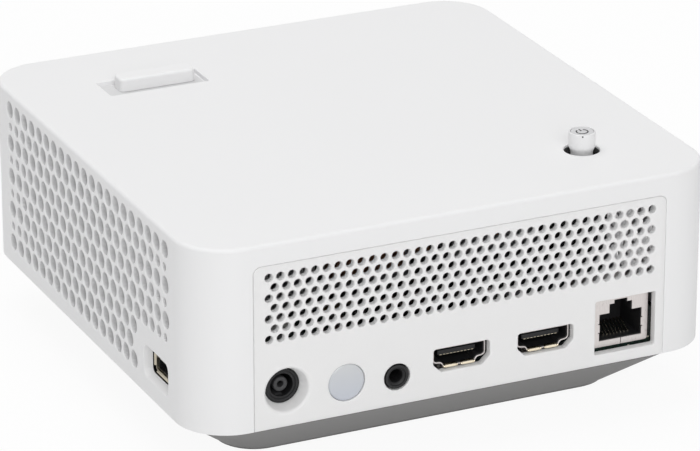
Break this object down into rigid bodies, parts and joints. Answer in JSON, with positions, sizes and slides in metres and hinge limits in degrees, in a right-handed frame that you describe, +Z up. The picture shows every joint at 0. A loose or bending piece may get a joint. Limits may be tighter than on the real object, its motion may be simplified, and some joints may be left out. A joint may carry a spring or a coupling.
{
  "type": "compact LED projector",
  "caption": "Square tabletop LED projector with a white vented shell, tapered grey base, rear port panel, focus lever, joystick button, and its lens, light engine, fans and boards inside.",
  "frame": {"origin": "under the middle of the case, on the surface it stands on", "axes": "+Z up, +Y the way the lens looks, +X to the right as seen from behind"},
  "size_m": [0.148, 0.148, 0.0716],
  "materials": {
    "white_shell": "fine satin moulding",
    "white_panel": "fine satin moulding",
    "grey_base": "satin",
    "black_plastic": "fine matt moulding",
    "white_insert": "smooth",
    "rubber": "matt",
    "brass": "turned",
    "dark_steel": "blackened",
    "spring_steel": "bright zinc",
    "dark_window": "polished",
    "lilac_window": "polished",
    "optical_glass": "polished, coated",
    "coated_glass": "dichroic coating",
    "engine_casting": "dark cast magnesium",
    "aluminium": "bare",
    "black_aluminium": "black anodised",
    "copper": "bare copper",
    "circuit_board": "solder mask",
    "chip_black": "moulded epoxy",
    "chip_ceramic": "ceramic with a glass window",
    "led_board": "white solder mask",
    "flat_cable": "smooth film",
    "cone_paper": "paper and rubber",
    "plated_shell": "nickel plate",
    "plated_contact": "bright plate"
  },
  "bodies": {
    "case": {"upper_shell": "white_shell", "rear_panel": "white_panel", "base_cover": "grey_base", "rubber_feet": "rubber", "tripod_insert": "brass", "case_screws": "dark_steel", "lens_bezel": "black_plastic", "front_ir_window": "dark_window", "rear_ir_window": "lilac_window", "lens_barrel": "black_plastic", "rear_lenses": "optical_glass", "ring_clip": "spring_steel", "engine_housing": "engine_casting", "engine_cover": "engine_casting", "prism": "optical_glass", "condenser_lenses": "optical_glass", "dichroic_mirrors": "coated_glass", "dmd_chip": "chip_ceramic", "dmd_board": "circuit_board", "dmd_heat_sink": "aluminium", "green_led": "led_board", "red_blue_led": "led_board", "heat_pipes": "copper", "fin_stack": "aluminium", "right_fan_frame": "black_plastic", "left_fan_frame": "black_plastic", "speaker_boxes": "black_plastic", "speaker_magnets": "dark_steel", "main_board": "circuit_board", "inner_screws": "spring_steel", "board_chips": "chip_black", "board_coils": "dark_steel", "processor_heat_sink": "black_aluminium", "wireless_module": "circuit_board", "dmd_ribbon": "flat_cable", "dc_jack": "black_plastic", "dc_pin": "black_plastic", "headphone_jack": "black_plastic", "video_sockets": "plated_shell", "video_tongues": "black_plastic", "socket_springs": "plated_contact", "network_socket": "plated_shell", "network_insert": "black_plastic", "usb_socket": "plated_shell", "usb_tongue": "white_insert", "button_board": "circuit_board", "switch_case": "plated_shell", "switch_dome": "spring_steel"},
    "focus": {"focus_ring": "black_plastic"},
    "lever": {"focus_lever": "white_shell"},
    "cell": {"lens_cell": "black_plastic", "front_lenses": "optical_glass"},
    "right_fan": {"right_rotor": "black_plastic"},
    "left_fan": {"left_rotor": "black_plastic"},
    "left_speaker": {"left_cone": "cone_paper"},
    "right_speaker": {"right_cone": "cone_paper"},
    "plunger": {"switch_plunger": "black_plastic"},
    "rocker": {"switch_rocker": "black_plastic"},
    "stick": {"switch_stem": "black_plastic", "button_cap": "white_shell"}
  },
  "joints": [
    {"name": "focus_turn", "type": "hinge", "parent": "case", "child": "focus", "pos_m": [-0.0355, 0.0455, 0.038], "axis": [0, 1, 0], "range_deg": [-7.5, 5.2]},
    {"name": "lever_slide", "type": "slide", "parent": "case", "child": "lever", "axis": [1, 0, 0], "range_m": [-0.00297, 0.00207]},
    {"name": "focus_slide", "type": "slide", "parent": "case", "child": "cell", "axis": [0, 1, 0], "range_m": [-0.0008, 0.00115]},
    {"name": "right_fan_spin", "type": "hinge", "parent": "case", "child": "right_fan", "pos_m": [0.0639, 0.002, 0.04], "axis": [1, 0, 0], "continuous": true},
    {"name": "left_fan_spin", "type": "hinge", "parent": "case", "child": "left_fan", "pos_m": [-0.0664, 0.002, 0.04], "axis": [1, 0, 0], "continuous": true},
    {"name": "left_cone_move", "type": "slide", "parent": "case", "child": "left_speaker", "axis": [1, 0, 0], "range_m": [-0.0005, 0.0005], "stiffness_N_per_m": 900},
    {"name": "right_cone_move", "type": "slide", "parent": "case", "child": "right_speaker", "axis": [1, 0, 0], "range_m": [-0.0005, 0.0005], "stiffness_N_per_m": 900},
    {"name": "button_press", "type": "slide", "parent": "case", "child": "plunger", "axis": [0, 0, -1], "range_m": [0, 0.0006], "stiffness_N_per_m": 1500, "springref_m": -0.0004},
    {"name": "button_tilt_fore", "type": "hinge", "parent": "plunger", "child": "rocker", "pos_m": [0.0467, -0.0486, 0.057], "axis": [1, 0, 0], "range_deg": [-4.5, 4.5], "stiffness_Nm_per_rad": 0.15},
    {"name": "button_tilt_side", "type": "hinge", "parent": "rocker", "child": "stick", "pos_m": [0.0467, -0.0486, 0.057], "axis": [0, 1, 0], "range_deg": [-4.5, 4.5], "stiffness_Nm_per_rad": 0.15}
  ],
  "couplings": [
    {"joint": "focus_slide", "follows": "focus_turn", "m_per_rad": -0.0087},
    {"joint": "lever_slide", "follows": "focus_turn", "m_per_rad": 0.0225}
  ]
}
